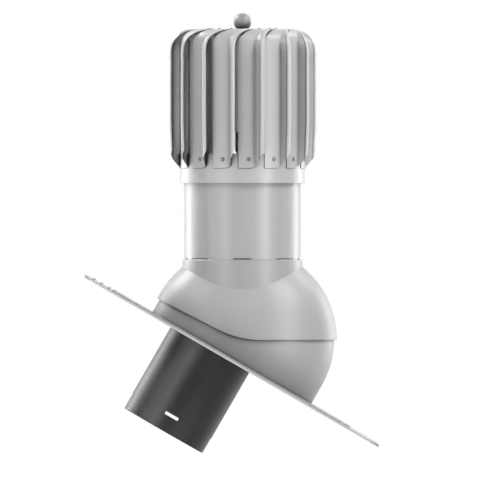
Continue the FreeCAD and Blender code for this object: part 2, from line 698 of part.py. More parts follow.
neck_bore = dim.neck_radius - dim.neck_wall
neck = turned("neck_tube", [(neck_bore, dim.ledge_height), (dim.neck_radius, dim.ledge_height),
                            (dim.neck_radius, dim.neck_top), (neck_bore, dim.neck_top)])
slotted(neck, "weep_slots", dim.weep_width, dim.weep_height, dim.collar_height + dim.weep_height / 2,
        dim.weep_pairs)


def drain_bar(name, angle):
    """A bar across the neck that cuts one drain hole in front and one behind."""
    reach = dim.neck_radius + OVERCUT
    half = dim.drain_width / 2
    turn = FreeCAD.Rotation(AXIS_Z, QUARTER + angle.value)
    return box(name, reach * 2, dim.drain_width, dim.weep_height, reach * sine(angle) + half * cosine(angle),
               half * sine(angle) - reach * cosine(angle), dim.collar_height, turn)


drains = []
for side in (-1, 1):
    for place, angle in enumerate((dim.drain_angle, dim.drain_angle + dim.drain_spacing)):
        drains.append(drain_bar(f"drain_{place}_{'left' if side < 0 else 'right'}", angle * side))
keep_on_neck("neck_pipe", cut("neck_pipe", neck, *drains))

inner_bore = dim.spigot_radius + dim.pipe_fit
inner_radius = inner_bore + dim.inner_wall
rivet_hole = dim.rivet_radius + dim.hole_gap
tab_rivet_rise = (dim.arm_height + dim.spider_height) / 2
lower_rivets_at = dim.lower_spider_foot + tab_rivet_rise
upper_rivets_at = dim.upper_spider_foot + tab_rivet_rise
inner_tube = turned("inner_tube", [(inner_bore, dim.seat_height), (inner_radius, dim.seat_height),
                                   (inner_radius, dim.neck_top), (inner_bore, dim.neck_top)])
inner_pipe = cut("inner_pipe", inner_tube,
                 radial_pins("inner_lower_holes", dim.spider_arms, rivet_hole, dim.spigot_radius - OVERCUT,
                             inner_radius + OVERCUT, lower_rivets_at),
                 radial_pins("inner_upper_holes", dim.spider_arms, rivet_hole, dim.spigot_radius - OVERCUT,
                             inner_radius + OVERCUT, upper_rivets_at))
keep_on_neck("inner_pipe", inner_pipe)

sleeve_bore = inner_radius + dim.sleeve_inner_gap
sleeve_outside = neck_bore - dim.sleeve_outer_gap
sleeve_top = dim.neck_top - dim.sleeve_top_gap
keep_on_neck("insulation_sleeve", turned("insulation_sleeve", [
    (sleeve_bore, dim.seat_height), (sleeve_outside, dim.seat_height), (sleeve_outside, sleeve_top),
    (sleeve_bore, sleeve_top)]))
cap_foot = dim.neck_top - dim.cap_lip
keep_on_neck("neck_cap", turned("neck_cap", [
    (inner_bore, dim.neck_top),
    (inner_radius + dim.pipe_fit, dim.neck_top),
    (inner_radius + dim.pipe_fit, cap_foot),
    (neck_bore - dim.pipe_fit, cap_foot),
    (neck_bore - dim.pipe_fit, dim.neck_top),
    (dim.neck_radius, dim.neck_top),
    (dim.neck_radius, dim.neck_top + dim.cap_thickness),
    (inner_bore, dim.neck_top + dim.cap_thickness)]))

# Spiders: a hub on three arms, each arm with a tab riveted to the inner pipe.

axle_bore = dim.axle_radius + dim.axle_fit
spider_hub_radius = axle_bore + dim.spider_hub_wall
tab_radius = inner_bore - dim.pipe_fit / 2
tab_inside = tab_radius - dim.tab_thickness


def spider(name, foot, rivets_at):
    pads = []
    arms = []
    arm_start = spider_hub_radius - dim.spider_hub_wall / 2
    half_arm = dim.arm_thickness / 2
    for index in copies(dim.spider_arms):
        angle = step_angle(dim.spider_arms) * index
        pad_turn = FreeCAD.Rotation(AXIS_Z, angle.value - dim.tab_angle.value / 2)
        arm_turn = FreeCAD.Rotation(AXIS_Z, angle.value)
        pads.append(cylinder(f"{name}_pad_{index}", tab_radius, dim.spider_height, z=foot, turn=pad_turn,
                             sweep=dim.tab_angle))
        arms.append(box(f"{name}_arm_{index}", tab_inside - arm_start, dim.arm_thickness, dim.arm_height,
                        arm_start * cosine(angle) + half_arm * sine(angle),
                        arm_start * sine(angle) - half_arm * cosine(angle), foot, arm_turn))
    tabs = cut(f"{name}_tabs", fuse(f"{name}_pads", *pads),
               cylinder(f"{name}_room", tab_inside, dim.spider_height, z=foot))
    hub = cylinder(f"{name}_hub", spider_hub_radius, dim.spider_height, z=foot)
    whole = fuse(f"{name}_whole", hub, tabs, *arms)
    above_arms = radial_pins(f"{name}_rivet_holes", dim.spider_arms, rivet_hole, tab_inside - OVERCUT,
                             tab_radius + OVERCUT, rivets_at)
    return cut(name, whole, cylinder(f"{name}_bore", axle_bore, dim.spider_height, z=foot), above_arms)


for level, foot, rivets_at in (("lower", dim.lower_spider_foot, lower_rivets_at),
                               ("upper", dim.upper_spider_foot, upper_rivets_at)):
    keep_on_neck(f"{level}_spider", spider(f"{level}_spider", foot, rivets_at))

# Axle with its nuts, and what is clamped on it.

bearing_top = dim.rotor_top - dim.sheet_thickness - dim.sheet_gap - dim.disc_thickness - dim.bearing_drop
upper_bearing_foot = bearing_top - dim.bearing_width
lower_bearing_foot = upper_bearing_foot - dim.bearing_spacing
shoulder_foot = lower_bearing_foot - dim.shoulder_height
lower_nut_foot = dim.lower_spider_foot - dim.nut_height
top_nut_foot = bearing_top + dim.washer_thickness
axle_top = top_nut_foot + dim.nut_height + dim.axle_proud
axle_foot = lower_nut_foot - dim.axle_end
keep_on_neck("axle", turned("axle", [
    (0.0, axle_foot), (dim.axle_radius, axle_foot), (dim.axle_radius, shoulder_foot),
    (dim.shoulder_radius, shoulder_foot), (dim.shoulder_radius, lower_bearing_foot),
    (dim.axle_radius, lower_bearing_foot), (dim.axle_radius, axle_top), (0.0, axle_top)]))


def nut(name, foot):
    body = doc.addObject("Part::Prism", f"{name}_hexagon")
    body.Polygon = NUT_SIDES
    half_side_angle = as_size(FULL_TURN / NUT_SIDES / 2)
    drive(body, Circumradius=dim.nut_flats / 2 / cosine(half_side_angle), Height=dim.nut_height)
    put(body, z=foot)
    return keep_on_neck(name, cut(name, body, cylinder(f"{name}_bore", axle_bore, dim.nut_height, z=foot)))


nut("lower_clamp_nut", lower_nut_foot)
nut("upper_clamp_nut", dim.lower_spider_foot + dim.spider_height)
nut("axle_nut", top_nut_foot)
keep_on_neck("axle_washer", tube("axle_washer", dim.washer_radius, axle_bore, dim.washer_thickness,
                                 bearing_top))
keep_on_neck("race_spacer", tube("race_spacer", dim.shoulder_radius, axle_bore,
                                 dim.bearing_spacing - dim.bearing_width,
                                 lower_bearing_foot + dim.bearing_width))

# Ball bearings: inner race on the axle, outer race in the hub, cage and balls between.


def groove(name, foot):
    item = doc.addObject("Part::Torus", name)
    drive(item, Radius1=dim.ball_circle_radius, Radius2=dim.ball_radius + dim.groove_gap)
    return put(item, z=foot + dim.bearing_width / 2)


def ball_ring(name, radius, middle):
    balls = []
    for index in copies(dim.ball_count):
        angle = step_angle(dim.ball_count) * index
        item = doc.addObject("Part::Sphere", f"{name}_{index}")
        drive(item, Radius=radius)
        balls.append(put(item, dim.ball_circle_radius * cosine(angle), dim.ball_circle_radius * sine(angle),
                         middle))
    return fuse(name, *balls)


def bearing(level, foot):
    middle = foot + dim.bearing_width / 2
    inner = f"{level}_inner_race"
    outer = f"{level}_outer_race"
    cage = f"{level}_cage"
    keep_on_neck(inner, cut(inner, tube(f"{inner}_blank", dim.inner_land_radius, axle_bore,
                                        dim.bearing_width, foot), groove(f"{inner}_groove", foot)))
    keep_on_rotor(outer, cut(outer, tube(f"{outer}_blank", dim.bearing_radius, dim.outer_land_radius,
                                         dim.bearing_width, foot), groove(f"{outer}_groove", foot)))
    blank = tube(f"{cage}_blank", dim.cage_outer_radius, dim.cage_inner_radius, dim.cage_height,
                 middle - dim.cage_height / 2)
    keep_on_neck(cage, cut(cage, blank, radial_pins(f"{cage}_pockets", dim.ball_count,
                                                    dim.ball_radius + dim.pocket_gap,
                                                    dim.cage_inner_radius - OVERCUT,
                                                    dim.cage_outer_radius + OVERCUT, middle)))
    keep_on_neck(f"{level}_balls", ball_ring(f"{level}_balls", dim.ball_radius, middle))


bearing("lower", lower_bearing_foot)
bearing("upper", upper_bearing_foot)

# Hub housing over both bearings, hung under the top disc.

housing_bore = dim.bearing_radius + dim.housing_fit
housing_radius = housing_bore + dim.housing_wall
disc_top = dim.rotor_top - dim.sheet_thickness - dim.sheet_gap
disc_foot = disc_top - dim.disc_thickness
housing_foot = lower_bearing_foot - dim.housing_skirt
cavity_top = disc_foot - dim.housing_crown
clip_top = lower_bearing_foot - dim.hole_gap
clip_foot = clip_top - dim.circlip_thickness
groove_top = clip_top + dim.hole_gap / 2
groove_foot = clip_foot - dim.hole_gap
groove_radius = housing_bore + dim.circlip_groove_depth
stud_bore = dim.finial_stud_radius + dim.hole_gap
shoulder_bore = housing_bore - dim.housing_lip
housing = turned("housing_blank", [
    (housing_bore, housing_foot),
    (housing_radius, housing_foot),
    (housing_radius, disc_foot - dim.hub_flange_thickness),
    (dim.hub_flange_radius, disc_foot - dim.hub_flange_thickness),
    (dim.hub_flange_radius, disc_foot),
    (stud_bore, disc_foot),
    (stud_bore, cavity_top),
    (shoulder_bore, cavity_top),
    (shoulder_bore, bearing_top),
    (housing_bore, bearing_top),
    (housing_bore, groove_top),
    (groove_radius, groove_top),
    (groove_radius, groove_foot),
    (housing_bore, groove_foot)])
keep_on_rotor("hub_housing", cut("hub_housing", housing, upright_pins(
    "hub_flange_holes", dim.hub_rivets, dim.hub_rivet_radius, rivet_hole, dim.hub_flange_thickness,
    disc_foot - dim.hub_flange_thickness)))
clip_radius = groove_radius - dim.hole_gap
clip_ring = tube("circlip_ring", clip_radius, clip_radius - dim.circlip_width, dim.circlip_thickness,
                 clip_foot)
clip_opening = box("circlip_opening", clip_radius, dim.circlip_gap, dim.circlip_thickness, 0.0,
                   -dim.circlip_gap / 2, clip_foot)
keep_on_rotor("circlip", cut("circlip", clip_ring, clip_opening))

# Top disc, rotor ring and their rivets.

disc = cylinder("disc_blank", dim.disc_radius, dim.disc_thickness, z=disc_foot)
keep_on_rotor("top_disc", cut(
    "top_disc", disc, cylinder("disc_stud_hole", stud_bore, dim.disc_thickness, z=disc_foot),
    upright_pins("disc_hub_holes", dim.hub_rivets, dim.hub_rivet_radius, rivet_hole, dim.disc_thickness,
                 disc_foot),
    upright_pins("disc_blade_holes", dim.blade_count, dim.upper_rivet_radius, rivet_hole, dim.disc_thickness,
                 disc_foot)))
ring_bore = dim.ring_radius - dim.sheet_thickness
rivet_level = dim.blade_foot + dim.lower_rivet_height
ring = turned("ring_blank", [(ring_bore, dim.ring_foot), (dim.ring_radius, dim.ring_foot),
                             (dim.ring_radius, dim.ring_foot + dim.ring_height),
                             (ring_bore, dim.ring_foot + dim.ring_height)])
keep_on_rotor("rotor_ring", cut("rotor_ring", ring, radial_pins(
    "ring_rivet_holes", dim.blade_count, rivet_hole, ring_bore - OVERCUT, dim.ring_radius + OVERCUT,
    rivet_level)))
face_outside = dim.ring_radius + dim.sheet_gap + dim.sheet_thickness
keep_on_rotor("lower_rivets", fasteners(
    "lower_rivets", dim.blade_count,
    rivet_profile(ring_bore - dim.hole_gap, face_outside, dim.rivet_head_radius, dim.rivet_head_height),
    height=rivet_level))
keep_on_rotor("upper_rivets", fasteners(
    "upper_rivets", dim.blade_count,
    rivet_profile(disc_foot, dim.rotor_top, dim.rivet_head_radius, dim.rivet_head_height),
    circle=dim.upper_rivet_radius))
keep_on_rotor("hub_rivets", fasteners(
    "hub_rivets", dim.hub_rivets,
    rivet_profile(disc_foot - dim.hub_flange_thickness, disc_top, dim.rivet_head_radius, dim.hub_rivet_head),
    circle=dim.hub_rivet_radius))
for level, rivets_at in (("lower", lower_rivets_at), ("upper", upper_rivets_at)):
    profile = rivet_profile(tab_inside - dim.hole_gap, inner_radius, dim.rivet_head_radius,
                            dim.spider_rivet_head)
    keep_on_neck(f"{level}_spider_rivets", fasteners(f"{level}_spider_rivets", dim.spider_arms, profile,
                                                     height=rivets_at))

# Finial: a ball flattened underneath, with a stud through the disc into the hub housing.

finial_drop = dim.finial_height + dim.sheet_thickness + dim.sheet_gap
flat_angle = Size(-math.degrees(math.asin(finial_drop.value / dim.finial_radius.value)),
                  f"(-1 * asin({finial_drop.text} / {dim.finial_radius.text}))")
finial_ball = doc.addObject("Part::Sphere", "finial_sphere")
drive(finial_ball, Radius=dim.finial_radius, Angle1=flat_angle)
put(finial_ball, z=dim.rotor_top + dim.finial_height)
finial_stud = cylinder("finial_stud", dim.finial_stud_radius, dim.finial_stud_length + finial_drop,
                       z=disc_top - dim.finial_stud_length)
keep_on_rotor("finial_ball", fuse("finial_ball", finial_ball, finial_stud))

# Blades: each is one folded sheet. Across, it runs from its free edge over the face on the ring, a
# fold, the flange that stands outwards, and a turned lip. Along, it runs up from the slanted foot,
# bends inwards round the top while it sweeps sideways, and ends as a flat tab on the disc.

SWEPT_IN_BEND = 0.96
FACE_SHARES = (0.0, 0.34, 0.67, 1.0)
FOLD_COLUMN = len(FACE_SHARES)
FLANGE_MIDDLE = 0.5
LIP_ROLL = ((0.35, 0.9), (0.7, 1.0), (1.0, 0.0))
STRAIGHT_SHARES = (0.0, 0.12, 0.3, 0.55, 0.8, 0.94)
BEND_DEGREES = (0.0, 15.0, 30.0, 45.0, 60.0, 75.0, 90.0)
TAB_SHARES = (0.25, 0.5, 0.75, 1.0)
STEEPEST_MITRE = 0.5


def blade_strip():
    """Corners of the blade's cross-section, as angle from the rivet, radius and run along the sheet."""
    face_radius = face_outside.value - dim.sheet_thickness.value / 2
    flange_radius = face_radius + dim.flange_reach.value
    fold_angle = math.degrees(dim.fold_length.value / face_radius)
    start = -dim.face_start.value
    fold = dim.fold_at.value
    strip = [(start + (fold - fold_angle - start) * share, face_radius) for share in FACE_SHARES]
    strip.append((fold, face_radius))
    fold_share = dim.fold_length.value / dim.flange_reach.value
    for share in (fold_share, FLANGE_MIDDLE, 1.0 - fold_share, 1.0):
        strip.append((fold + (dim.lip_at.value - fold) * share,
                      face_radius + dim.flange_reach.value * share))
    for share, height in LIP_ROLL:
        strip.append((dim.lip_at.value + (dim.lip_end.value - dim.lip_at.value) * share,
                      flange_radius + dim.lip_rise.value * height))
    runs = [0.0]
    for (angle, radius), (last_angle, last_radius) in zip(strip[1:], strip[:-1]):
        across = math.radians(angle - last_angle) * radius
        runs.append(runs[-1] + math.hypot(across, radius - last_radius))
    return [(angle, radius, run) for (angle, radius), run in zip(strip, runs)]


def blade_line(angle, radius, run, whole_run):
    """Points of one line along the blade, from its foot to the tab's inner end."""
    top = dim.rotor_top.value - dim.sheet_thickness.value / 2
    face_radius = face_outside.value - dim.sheet_thickness.value / 2
    reach = (radius - face_radius) / (dim.flange_reach.value + dim.lip_rise.value)
    corner = max(0.0, run - whole_run + dim.foot_corner_run.value) / dim.foot_corner_run.value
    foot = dim.blade_foot.value + dim.foot_corner_rise.value * corner ** 2
    power = dim.face_sweep.value + (dim.lip_sweep.value - dim.face_sweep.value) * reach
    bend = radius - dim.tab_start_radius.value
    straight = top - bend - foot
    pitch_angle = FULL_TURN / dim.blade_count.value
    tab_angle = pitch_angle + dim.tab_half_angle.value * (2 * run / whole_run - 1)
    points = []
    for share in STRAIGHT_SHARES:
        height = foot + straight * share
        taper = max(0.0, 1 - (height - dim.blade_foot.value) / dim.taper_height.value)
        points.append((angle, radius - reach * dim.foot_taper.value * taper, height))
    for degrees in BEND_DEGREES:
        sweep = SWEPT_IN_BEND * (degrees / QUARTER) ** power
        turn = math.radians(degrees)
        points.append((angle + (tab_angle - angle) * sweep, radius - bend * (1 - math.cos(turn)),
                       top - bend * (1 - math.sin(turn))))
    for share in TAB_SHARES:
        sweep = 1 - (1 - SWEPT_IN_BEND) * max(0.0, 1 - 2 * share) ** 3
        inward = dim.tab_start_radius.value + (dim.tab_end_radius.value - dim.tab_start_radius.value) * share
        points.append((angle + (tab_angle - angle) * sweep, inward, top))
    return [FreeCAD.Vector(reach_out * math.cos(math.radians(direction)),
                           reach_out * math.sin(math.radians(direction)), height)
            for direction, reach_out, height in points]


def blade_side(grid, offset):
    """The grid moved along the sheet's normal, mitred so that the sheet keeps its thickness in folds."""
    columns = len(grid)
    rows = len(grid[0])
    moved = []
    for column in range(columns):
        line = []
        for row in range(rows):
            along = grid[column][min(row + 1, rows - 1)] - grid[column][max(row - 1, 0)]
            normals = []
            if column > 0:
                normals.append((grid[column][row] - grid[column - 1][row]).cross(along).normalize())
            if column < columns - 1:
                normals.append((grid[column + 1][row] - grid[column][row]).cross(along).normalize())
            normal = normals[0] + normals[-1]
            normal.normalize()
            mitre = 1 / max(normal.dot(normals[0]), STEEPEST_MITRE)
            line.append(grid[column][row] + normal * (offset * mitre))
        moved.append(line)
    return moved


def blade_surface(grid, parameters):
    """A smooth surface: it passes through the points along the blade and rounds the folds across."""
    poles = []
    for line in grid:
        curve = Part.BSplineCurve()
        curve.interpolate(Points=line, Parameters=parameters)
        poles.append(curve.getPoles())
    columns = len(grid)
    across_knots = [float(number) for number in range(columns - 1)]
    across_multiplicities = [3] + [1] * (columns - 3) + [3]
    surface = Part.BSplineSurface()
    surface.buildFromPolesMultsKnots(poles, across_multiplicities, curve.getMultiplicities(), across_knots,
                                     curve.getKnots(), False, False, 2, 3)
    return surface


def blade_shape():
    """One blade as a closed solid, with its two rivet holes."""
    strip = blade_strip()
    whole_run = strip[-1][2]
    grid = [blade_line(angle, radius, run, whole_run) for angle, radius, run in strip]
    middle = grid[FOLD_COLUMN]
    lengths = [0.0]
    for point, last in zip(middle[1:], middle[:-1]):
        lengths.append(lengths[-1] + point.distanceToPoint(last))
    parameters = [length / lengths[-1] for length in lengths]
    half = dim.sheet_thickness.value / 2
    sides = [blade_surface(blade_side(grid, offset), parameters) for offset in (half, -half)]
    faces = [side.toShape() for side in sides]
    u_first, u_last, v_first, v_last = sides[0].bounds()
    for level in (u_first, u_last):
        faces.append(Part.makeRuledSurface(sides[0].uIso(level).toShape(), sides[1].uIso(level).toShape()))
    for level in (v_first, v_last):
        faces.append(Part.makeRuledSurface(sides[0].vIso(level).toShape(), sides[1].vIso(level).toShape()))
    skin = Part.Compound(faces)
    skin.sewShape()
    solid = Part.Solid(skin.Shells[0])
    if solid.Volume < 0:
        solid.reverse()
    hole = rivet_hole.value
    depth = 2 * (dim.sheet_thickness.value + OVERCUT)
    inside_face = face_outside.value - dim.sheet_thickness.value - OVERCUT
    lower = Part.makeCylinder(hole, depth, FreeCAD.Vector(inside_face, 0, rivet_level.value), AXIS_X)
    tab_middle = math.radians(FULL_TURN / dim.blade_count.value)
    upper_reach = dim.upper_rivet_radius.value
    upper = Part.makeCylinder(hole, depth, FreeCAD.Vector(
        upper_reach * math.cos(tab_middle), upper_reach * math.sin(tab_middle), disc_top.value - OVERCUT))
    return solid.cut([lower, upper])


first_blade = blade_shape()
for index in copies(dim.blade_count):
    blade = doc.addObject("Part::Feature", f"blade_{index + 1:02d}")
    blade.Shape = first_blade.copy()
    keep_on_rotor(f"blade_{index + 1:02d}", blade, step_angle(dim.blade_count) * index)


def check_and_write():
    """Recomputes, makes sure that every object and piece is sound, and writes one file a piece."""
    doc.recompute()
    for item in doc.Objects:
        faults = [state for state in item.State if state in ("Invalid", "Error")]
        if faults:
            raise RuntimeError(f"{item.Label} is {faults[0]}")
    for name, item in nodes.items():
        if item.Shape.isNull() or not item.Shape.isValid():
            raise RuntimeError(f"{name} has no sound shape")
    os.makedirs("parts", exist_ok=True)
    for name, item in nodes.items():
        item.Shape.exportStep(f"parts/{name}.step")
        print(f"{name}: {len(item.Shape.Solids)} solids, {item.Shape.Volume:.0f} mm3")


check_and_write()
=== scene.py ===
import bpy
import json
import math
import numpy as np
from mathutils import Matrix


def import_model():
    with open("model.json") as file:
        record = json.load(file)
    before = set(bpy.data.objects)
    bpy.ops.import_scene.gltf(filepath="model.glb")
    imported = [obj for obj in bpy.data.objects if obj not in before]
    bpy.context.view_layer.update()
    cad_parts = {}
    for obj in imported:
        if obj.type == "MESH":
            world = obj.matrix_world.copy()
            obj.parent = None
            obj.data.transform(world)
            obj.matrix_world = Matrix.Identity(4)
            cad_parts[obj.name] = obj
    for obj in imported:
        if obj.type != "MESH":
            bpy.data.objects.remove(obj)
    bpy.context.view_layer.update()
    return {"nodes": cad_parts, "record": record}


# Looks of the rotating chimney cowl. Metres; Z runs up the rotor's axis, X down the roof's slope.

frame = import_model()
nodes = frame["nodes"]

# Places on the object that the finishes follow

JOINTS = {joint["name"]: joint for joint in frame["record"]["behaviour"]["joints"]}
BALL = JOINTS["pitch_adjust"]["pos_m"]
PITCH = math.radians(30.0)
PLATE_WIDTH = 0.380
# Band along the plate's two long edges that gets a painted highlight
EDGE_HIGHLIGHT_BAND = (PLATE_WIDTH / 2 - 0.0015, PLATE_WIDTH / 2 - 0.0005)
DOME_END = (0.130, 0.145)

# The blades' sheet: its middle at the top, its foot, and distances beyond the centre of its bend

SHEET = 0.001
ROTOR_TOP = BALL[2] + 0.4264 - SHEET / 2
BLADE_FOOT = BALL[2] + 0.2353
BEND_CENTRE = 0.0694
LEAST_DEPTH = 0.0002
FOOT_TAPER = 0.0025
TAPER_HEIGHT = 0.062
# Lengths along the sheet where the painted dark line of the crease runs
CREASE_SHADE_START = (0.0270, 0.0288)
CREASE_SHADE_END = (0.0296, 0.0300)
# Length along the sheet beyond which the lip gets a painted highlight
LIP_HIGHLIGHT_START = (0.0297, 0.0305)


class Wire:
    """An output of a shader node. Arithmetic on it adds Math nodes."""

    def __init__(self, look, socket):
        self.look = look
        self.socket = socket

    def __add__(self, other):
        return self.look.maths("ADD", self, other)

    __radd__ = __add__

    def __sub__(self, other):
        return self.look.maths("SUBTRACT", self, other)

    def __rsub__(self, other):
        return self.look.maths("SUBTRACT", other, self)

    def __mul__(self, other):
        return self.look.maths("MULTIPLY", self, other)

    __rmul__ = __mul__

    def __truediv__(self, other):
        return self.look.maths("DIVIDE", self, other)

    def __rtruediv__(self, other):
        return self.look.maths("DIVIDE", other, self)

    def __pow__(self, other):
        return self.look.maths("POWER", self, other)

    def at_least(self, other):
        return self.look.maths("MAXIMUM", self, other)

    def at_most(self, other):
        return self.look.maths("MINIMUM", self, other)


def colour(value):
    """A colour for a socket, from one level of grey or from three."""
    return (value, value, value, 1.0) if isinstance(value, float) else (*value, 1.0)


class Look:
    """Shader nodes under construction, in a material's tree or the world's."""

    def __init__(self, tree, output):
        self.tree = tree
        self.tree.nodes.clear()
        self.output = self.tree.nodes.new(output)

    def node(self, kind, settings=None, inputs=None, output=0):
        """Adds a node: settings first, then the values or links of its sockets."""
        made = self.tree.nodes.new("ShaderNode" + kind)
        for name, value in (settings or {}).items():
            setattr(made, name, value)
        for name, value in (inputs or {}).items():
            if isinstance(value, Wire):
                self.tree.links.new(value.socket, made.inputs[name])
            else:
                made.inputs[name].default_value = value
        return Wire(self, made.outputs[output])

    def maths(self, operation, *values):
        return self.node("Math", {"operation": operation}, dict(enumerate(values)))

    def ramp(self, value, low, high):
        """0 below low, 1 above high and smooth between them."""
        return self.node("MapRange", {"interpolation_type": "SMOOTHSTEP"},
                         {"Value": value, "From Min": low, "From Max": high})

    def ray(self, kind):
        """1 for a ray of this kind."""
        return self.node("LightPath", output="Is %s Ray" % kind)

    def mixed(self, share, first, second):
        """A shader from first to second."""
        return self.node("MixShader", inputs={0: share, 1: first, 2: second})

    def close(self, shader):
        """Ends the tree in a shader."""
        self.tree.links.new(shader.socket, self.output.inputs["Surface"])


class Finish(Look):
    """A material: its patterns on the object's own coordinates, and its shader."""

    def __init__(self, name):
        self.material = bpy.data.materials.new(name)
        self.material.use_nodes = True
        super().__init__(self.material.node_tree, "ShaderNodeOutputMaterial")

    def place(self):
        """Object coordinates, in metres."""
        return self.node("TexCoord", output="Object")

    def along(self, axis):
        """One of the object coordinates: X, Y or Z."""
        return self.node("SeparateXYZ", inputs={0: self.place()}, output=axis)

    def moved(self, centre=(0.0, 0.0, 0.0), turn=(0.0, 0.0, 0.0), stretch=(1.0, 1.0, 1.0)):
        """Object coordinates seen from another point, turned or stretched."""
        return self.node("Mapping", {"vector_type": "TEXTURE"},
                         {"Vector": self.place(), "Location": centre, "Rotation": turn, "Scale": stretch})

    def noise(self, scale, detail, rough, where=None):
        """Noise with this many patches to a metre."""
        return self.node("TexNoise", inputs={"Vector": where or self.place(), "Scale": scale,
                                             "Detail": detail, "Roughness": rough})

    def drawn(self, stretch, turn=(0.0, 0.0, 0.0), detail=2.0, rough=0.5):
        """Noise pulled out by the lengths in stretch, in metres."""
        return self.noise(1.0, detail, rough, self.moved(turn=turn, stretch=stretch))

    def between(self, share, first, second):
        """A colour from first to second, each a colour or the output of a node."""
        ends = [end if isinstance(end, Wire) else colour(end) for end in (first, second)]
        return self.node("Mix", {"data_type": "RGBA"}, {0: share, 6: ends[0], 7: ends[1]}, output=2)

    def shaded(self, tone, reach, low, high, dark, spared=0.0):
        """The tone with painted shade, darker in gaps and corners.

        It is dark where less than the share low stands open within reach, in metres, and untouched where
        more than high does or spared is 1.
        """
        open_share = self.node("AmbientOcclusion", {"samples": 16}, {"Distance": reach}, output="AO")
        return self.between(self.ramp(open_share, low, high).at_least(spared), dark, tone)

    def bump(self, height, distance, strength):
        return self.node("Bump", inputs={"Height": height, "Distance": distance, "Strength": strength})

    def coat(self, **inputs):
        """Ends the material in a Principled shader; underscores in names stand for spaces."""
        self.close(self.node("BsdfPrincipled", inputs={name.replace("_", " "): value
                                                       for name, value in inputs.items()}))
        return self.material


# Finishes


def moulding_finish():
    """Light grey moulded plastic: faintly cloudy, scuffed and spark-grained.

    The grain and the painted shade in the corners belong to the dome and the hood. The plate around them is
    smoother, and its two long edges carry a pale painted highlight.
    """
    look = Finish("grey_moulding")
    cloud = look.noise(9.0, 3.0, 0.55)
    grain = look.noise(1500.0, 2.0, 0.6)
    scuff = look.ramp(look.noise(70.0, 5.0, 0.7), 0.62, 0.75)
    from_ball = look.node("VectorMath", {"operation": "LENGTH"}, {0: look.moved(BALL)}, output="Value")
    plate = look.ramp(from_ball, *DOME_END)
    edge_highlight = look.ramp(look.maths("ABSOLUTE", look.along("Y")), *EDGE_HIGHLIGHT_BAND)
    tone = look.between(cloud, (0.500, 0.500, 0.495), (0.565, 0.565, 0.560))
    tone = look.between(scuff * 0.25, tone, (0.62, 0.62, 0.61))
    # Painted highlight: the plate's two long edges paler
    tone = look.between(0.7 * edge_highlight, tone, (0.84, 0.84, 0.83))
    # Painted shade: darker in the gaps and corners of the dome and the hood, as under the hood's edge and
    # round the dome's foot
    tone = look.shaded(tone, 0.07, 0.0, 1.0, 0.01, spared=plate)
    tone = look.shaded(tone, 0.010, 0.30, 0.80, 0.02, spared=plate)
    return look.coat(Base_Color=tone, Roughness=(0.37 + 0.08 * cloud + 0.05 * scuff) * (1.0 - 0.3 * plate),
                     Normal=look.bump(grain, 0.00001, 0.5 - 0.5 * plate), Specular_IOR_Level=1.0)


def pipe_finish():
    """Extruded pipe: the same plastic, drawn, so that its streaks and tones run along it."""
    look = Finish("grey_pipe")
    streak = look.drawn((0.004, 0.004, 0.6), detail=3.0, rough=0.6)
    cloud = look.noise(7.0, 2.0, 0.5)
    grain = look.noise(1800.0, 2.0, 0.6)
    tone = look.between(0.5 * streak + 0.5 * cloud, (0.540, 0.540, 0.535), (0.615, 0.615, 0.610))
    # Painted shade: the pipe darker in corners, as where it stands under the rotor
    tone = look.shaded(tone, 0.03, 0.05, 0.45, 0.06)
    return look.coat(Base_Color=tone, Roughness=0.31 + 0.10 * streak,
                     Normal=look.bump(0.7 * streak + 0.3 * grain, 0.00003, 0.5), Specular_IOR_Level=1.0)


def tube_finish():
    """Black tube: drawn lines along its slanted axis, and a fine grain."""
    look = Finish("black_tube")
    streak = look.drawn((0.006, 0.006, 0.4), turn=(0.0, PITCH, 0.0), detail=3.0, rough=0.6)
    grain = look.noise(900.0, 3.0, 0.7)
    tone = look.between(0.6 * streak + 0.4 * grain, (0.014, 0.014, 0.015), (0.040, 0.040, 0.042))
    return look.coat(Base_Color=tone, Roughness=0.36 + 0.10 * grain,
                     Normal=look.bump(grain, 0.00010, 0.8), Specular_IOR_Level=1.0)


def dark_finish():
    """Dark grey inner mouldings and pipe."""
    look = Finish("dark_plastic")
    cloud = look.noise(14.0, 3.0, 0.6)
    grain = look.noise(1300.0, 2.0, 0.6)
    tone = look.between(cloud, (0.045, 0.045, 0.048), (0.075, 0.075, 0.078))
    return look.coat(Base_Color=tone, Roughness=0.45 + 0.12 * cloud, Normal=look.bump(grain, 0.00006, 0.6))


def wool_finish():
    """Pale mineral wool: tangled fibres."""
    look = Finish("foam")
    fibre = look.noise(420.0, 6.0, 0.75, look.moved(stretch=(1.0, 1.0, 0.3)))
    clump = look.noise(60.0, 4.0, 0.6)
    tone = look.between(0.6 * fibre + 0.4 * clump, (0.55, 0.53, 0.47), (0.85, 0.84, 0.79))
    return look.coat(Base_Color=tone, Roughness=0.9, Normal=look.bump(fibre + clump, 0.0008, 0.8))


def sheet_length(look):
    """How far out a blade's sheet stands, as one length for its straight part and its bend.

    The bend starts farther below the top the farther out its sheet stands. A point of the bend lies on a
    circle that touches the top, and its length is the circle's radius. Below the bend the length is the
    distance beyond the bend's centre.
    """
    across = look.along("X") - BALL[0]
    side = look.along("Y")
    height = look.along("Z")
    taper = (1.0 - (height - BLADE_FOOT) / TAPER_HEIGHT).at_least(0.0)
    out = (across * across + side * side) ** 0.5 - BEND_CENTRE + FOOT_TAPER * taper
    depth = (ROTOR_TOP - height).at_least(LEAST_DEPTH).at_most(out)
    return (out * out + depth * depth) / (2.0 * depth)


